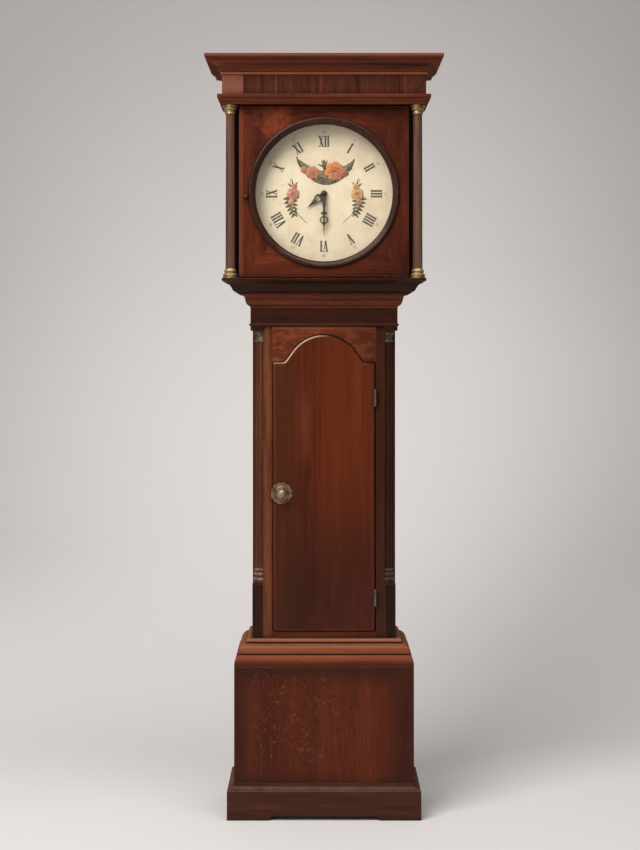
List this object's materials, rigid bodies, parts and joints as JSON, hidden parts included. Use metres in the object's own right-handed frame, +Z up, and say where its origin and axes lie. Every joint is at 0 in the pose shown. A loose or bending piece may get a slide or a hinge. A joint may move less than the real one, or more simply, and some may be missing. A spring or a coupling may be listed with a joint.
{
  "type": "longcase clock",
  "caption": "Free-standing mahogany longcase clock: round painted dial behind a glazed hood door, arched trunk door, weight-driven train and long pendulum.",
  "frame": {"origin": "on the floor, under the middle of the clock's width and depth", "axes": "+Z up, the front faces -Y, +X is the viewer's right"},
  "size_m": [0.5846, 0.2936, 1.884],
  "materials": {
    "mahogany": "French-polished figured mahogany veneer",
    "plain_wood": "unfinished softwood",
    "brass": "aged brass",
    "steel": "plain steel",
    "blackened_hands": "blackened steel",
    "iron": "cast iron",
    "rope": "twisted hemp rope",
    "glass": "clear glass",
    "painted_dial": "cream painted iron"
  },
  "bodies": {
    "case": {"plinth_front": "mahogany", "plinth_sides": "mahogany", "base_front": "mahogany", "base_sides": "mahogany", "base_floor": "plain_wood", "base_moulding": "mahogany", "backboard": "plain_wood", "trunk_sides": "mahogany", "trunk_stiles": "mahogany", "trunk_rails": "mahogany", "trunk_frieze": "mahogany", "throat_moulding": "mahogany", "quarter_columns": "mahogany", "quarter_capitals": "brass", "corner_blocks": "mahogany", "trunk_hinge_case_leaves": "brass", "seat_board": "plain_wood", "front_plate": "brass", "back_plate": "brass", "plate_pillars": "brass", "dial": "painted_dial", "dial_feet": "brass", "back_cock": "brass", "rope": "rope"},
    "hood": {"hood_base_moulding": "mahogany", "hood_mask": "mahogany", "hood_sides": "mahogany", "architrave": "mahogany", "hood_frieze": "mahogany", "cornice": "mahogany", "hood_top_board": "plain_wood", "hood_columns": "mahogany", "hood_column_brasses": "brass"},
    "hood_door": {"hood_door_frame": "mahogany", "hood_bezel": "mahogany", "hood_glass": "glass", "hood_door_knob": "brass", "hood_hinge_straps": "brass"},
    "trunk_door": {"trunk_door": "mahogany", "trunk_hinge_door_leaves": "brass", "latch_rosette": "brass"},
    "door_latch": {"latch_knob": "brass", "latch_bar": "steel"},
    "centre_arbor": {"centre_wheel": "brass", "cannon_pinion": "brass", "minute_hand": "blackened_hands", "hand_collet": "brass"},
    "hour_pipe": {"hour_wheel": "brass", "hour_hand": "blackened_hands"},
    "minute_wheel": {"minute_wheel": "brass"},
    "great_wheel": {"great_wheel": "brass"},
    "third_wheel": {"third_wheel": "brass"},
    "escape_wheel": {"escape_wheel": "brass"},
    "pallets": {"pallets": "steel"},
    "pendulum": {"pendulum_rod": "steel", "pendulum_bob": "brass", "rating_nut": "brass"},
    "rope_pulley": {"rope_pulley": "brass"},
    "weight": {"weight": "iron"},
    "counterweight": {"counterweight": "iron"}
  },
  "joints": [
    {"name": "hood_slide", "type": "slide", "parent": "case", "child": "hood", "axis": [0, -1, 0], "range_m": [0, 0.2]},
    {"name": "hood_door_hinge", "type": "hinge", "parent": "hood", "child": "hood_door", "pos_m": [0.208, -0.08425, 1.5515], "axis": [0, 0, 1], "range_deg": [0, 100]},
    {"name": "trunk_door_hinge", "type": "hinge", "parent": "case", "child": "trunk_door", "pos_m": [0.128, -0.04675, 0.8], "axis": [0, 0, 1], "range_deg": [0, 160]},
    {"name": "door_latch_turn", "type": "hinge", "parent": "trunk_door", "child": "door_latch", "pos_m": [-0.106, -0.043, 0.802], "axis": [0, 1, 0], "range_deg": [-90, 0]},
    {"name": "minute_hand_turn", "type": "hinge", "parent": "case", "child": "centre_arbor", "pos_m": [0, 0, 1.549], "axis": [0, 1, 0], "continuous": true},
    {"name": "hour_hand_turn", "type": "hinge", "parent": "case", "child": "hour_pipe", "pos_m": [0, 0, 1.549], "axis": [0, 1, 0], "continuous": true},
    {"name": "minute_wheel_turn", "type": "hinge", "parent": "case", "child": "minute_wheel", "pos_m": [-0.02806, 0, 1.5652], "axis": [0, 1, 0], "continuous": true},
    {"name": "great_wheel_turn", "type": "hinge", "parent": "case", "child": "great_wheel", "pos_m": [0, 0, 1.513], "axis": [0, 1, 0], "continuous": true},
    {"name": "third_wheel_turn", "type": "hinge", "parent": "case", "child": "third_wheel", "pos_m": [0.018, 0, 1.57375], "axis": [0, 1, 0], "continuous": true},
    {"name": "escape_wheel_turn", "type": "hinge", "parent": "case", "child": "escape_wheel", "pos_m": [0, 0, 1.59623], "axis": [0, 1, 0], "continuous": true},
    {"name": "pendulum_swing", "type": "hinge", "parent": "case", "child": "pendulum", "pos_m": [0, 0.06775, 1.63223], "axis": [0, 1, 0], "range_deg": [-3, 3]},
    {"name": "pallet_rock", "type": "hinge", "parent": "case", "child": "pallets", "pos_m": [0, 0.06775, 1.63223], "axis": [0, 1, 0], "range_deg": [-3, 3]},
    {"name": "weight_drop", "type": "slide", "parent": "case", "child": "weight", "axis": [0, 0, 1], "range_m": [-0.75, 0], "deforming": ["rope"]},
    {"name": "counterweight_rise", "type": "slide", "parent": "case", "child": "counterweight", "axis": [0, 0, 1], "range_m": [0, 0.75]},
    {"name": "rope_pulley_turn", "type": "hinge", "parent": "case", "child": "rope_pulley", "pos_m": [0, 0, 1.513], "axis": [0, 1, 0], "range_deg": [0, 1791]}
  ],
  "couplings": [
    {"joint": "hour_hand_turn", "follows": "minute_hand_turn", "ratio": 0.083333},
    {"joint": "minute_wheel_turn", "follows": "minute_hand_turn", "ratio": -0.5},
    {"joint": "great_wheel_turn", "follows": "minute_hand_turn", "ratio": -0.2},
    {"joint": "third_wheel_turn", "follows": "minute_hand_turn", "ratio": -7.5},
    {"joint": "escape_wheel_turn", "follows": "minute_hand_turn", "ratio": 60},
    {"joint": "pallet_rock", "follows": "pendulum_swing", "ratio": 1},
    {"joint": "counterweight_rise", "follows": "weight_drop", "ratio": -1},
    {"joint": "rope_pulley_turn", "follows": "weight_drop", "rad_per_m": -41.667}
  ]
}
